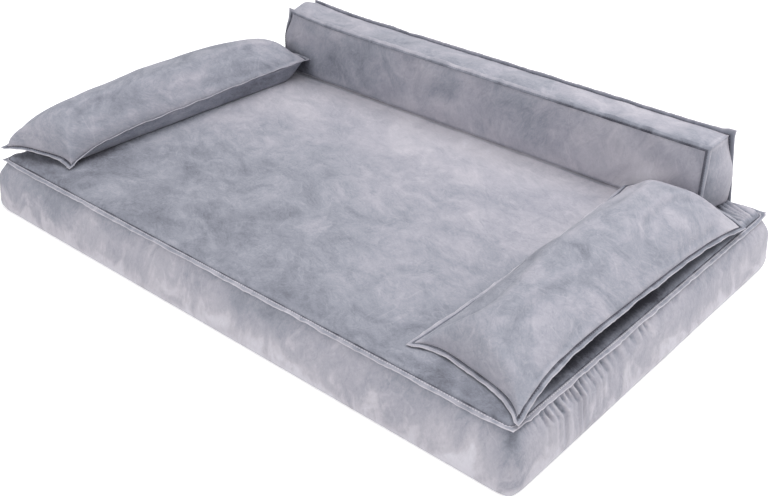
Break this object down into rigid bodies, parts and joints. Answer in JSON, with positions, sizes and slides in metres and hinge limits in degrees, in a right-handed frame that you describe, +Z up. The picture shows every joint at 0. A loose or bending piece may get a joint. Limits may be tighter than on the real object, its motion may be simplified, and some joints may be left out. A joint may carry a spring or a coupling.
{
  "type": "dog sofa bed",
  "caption": "Low dog sofa bed: boxed velvet mattress with an upright lift-off back bolster and a loose arm pillow at each end.",
  "frame": {"origin": "on the floor, at the middle of the mattress footprint", "axes": "+X along the length of the bed, to the right as seen from its open front; -Y towards the open front, +Y towards the bolster; +Z up"},
  "size_m": [1.0354, 0.6804, 0.209],
  "materials": {
    "velvet": "crushed velvet, short brushed pile with a soft sheen",
    "velvet_flange": "the same velvet, doubled and stitched flat",
    "base_fabric": "woven base cloth with small grip dots",
    "firm_foam": "firm open-cell foam",
    "soft_foam": "soft open-cell foam",
    "fibre_fill": "loose polyester fibre",
    "loop_tape": "brushed loop tape",
    "hook_tape": "hook tape",
    "zip_tape": "woven zip tape",
    "zip_teeth": "moulded nylon teeth",
    "zip_metal": "painted die-cast metal"
  },
  "bodies": {
    "mattress": {"support_foam": "firm_foam", "comfort_foam": "soft_foam", "mattress_top_panel": "velvet", "mattress_front_boxing": "velvet", "mattress_left_boxing": "velvet", "mattress_right_boxing": "velvet", "mattress_rear_boxing_lower": "velvet", "mattress_rear_boxing_upper": "velvet", "mattress_bottom_panel": "base_fabric", "mattress_flange": "velvet_flange", "mattress_zip_tapes": "zip_tape", "mattress_zip_teeth": "zip_teeth", "mattress_zip_stops": "zip_metal", "loop_strips": "loop_tape"},
    "mattress_slider": {"mattress_zip_slider": "zip_metal"},
    "mattress_pull": {"mattress_zip_pull": "zip_metal"},
    "bolster": {"bolster_foam": "firm_foam", "bolster_front_panel": "velvet", "bolster_rear_panel": "velvet", "bolster_rear_hem": "velvet", "bolster_top_boxing": "velvet", "bolster_bottom_boxing": "base_fabric", "bolster_left_end": "velvet", "bolster_right_end": "velvet", "bolster_front_flange": "velvet_flange", "bolster_rear_flange": "velvet_flange", "bolster_zip_tapes": "zip_tape", "bolster_zip_teeth": "zip_teeth", "bolster_zip_stops": "zip_metal", "hook_strips": "hook_tape"},
    "bolster_slider": {"bolster_zip_slider": "zip_metal"},
    "bolster_pull": {"bolster_zip_pull": "zip_metal"},
    "left_pillow": {"left_pillow_fill": "fibre_fill", "left_pillow_top_panel": "velvet", "left_pillow_bottom_panel": "velvet", "left_pillow_flange": "velvet_flange"},
    "right_pillow": {"right_pillow_fill": "fibre_fill", "right_pillow_top_panel": "velvet", "right_pillow_bottom_panel": "velvet", "right_pillow_flange": "velvet_flange"}
  },
  "joints": [
    {"name": "bolster_lift", "type": "slide", "parent": "mattress", "child": "bolster", "axis": [0, 0, 1], "range_m": [0, 0.2]},
    {"name": "left_pillow_lift", "type": "slide", "parent": "mattress", "child": "left_pillow", "axis": [0, 0, 1], "range_m": [0, 0.2]},
    {"name": "right_pillow_lift", "type": "slide", "parent": "mattress", "child": "right_pillow", "axis": [0, 0, 1], "range_m": [0, 0.2]},
    {"name": "mattress_zip", "type": "slide", "parent": "mattress", "child": "mattress_slider", "axis": [1, 0, 0], "range_m": [0, 0.953]},
    {"name": "mattress_pull_flip", "type": "hinge", "parent": "mattress_slider", "child": "mattress_pull", "pos_m": [-0.4767, 0.33614, 0.06957], "axis": [0, -0.3255, 0.9455], "range_deg": [0, 170]},
    {"name": "bolster_zip", "type": "slide", "parent": "bolster", "child": "bolster_slider", "axis": [1, 0, 0], "range_m": [0, 0.763]},
    {"name": "bolster_pull_flip", "type": "hinge", "parent": "bolster_slider", "child": "bolster_pull", "pos_m": [-0.3705, 0.3213, 0.1143], "axis": [0, 0, 1], "range_deg": [0, 170]}
  ]
}
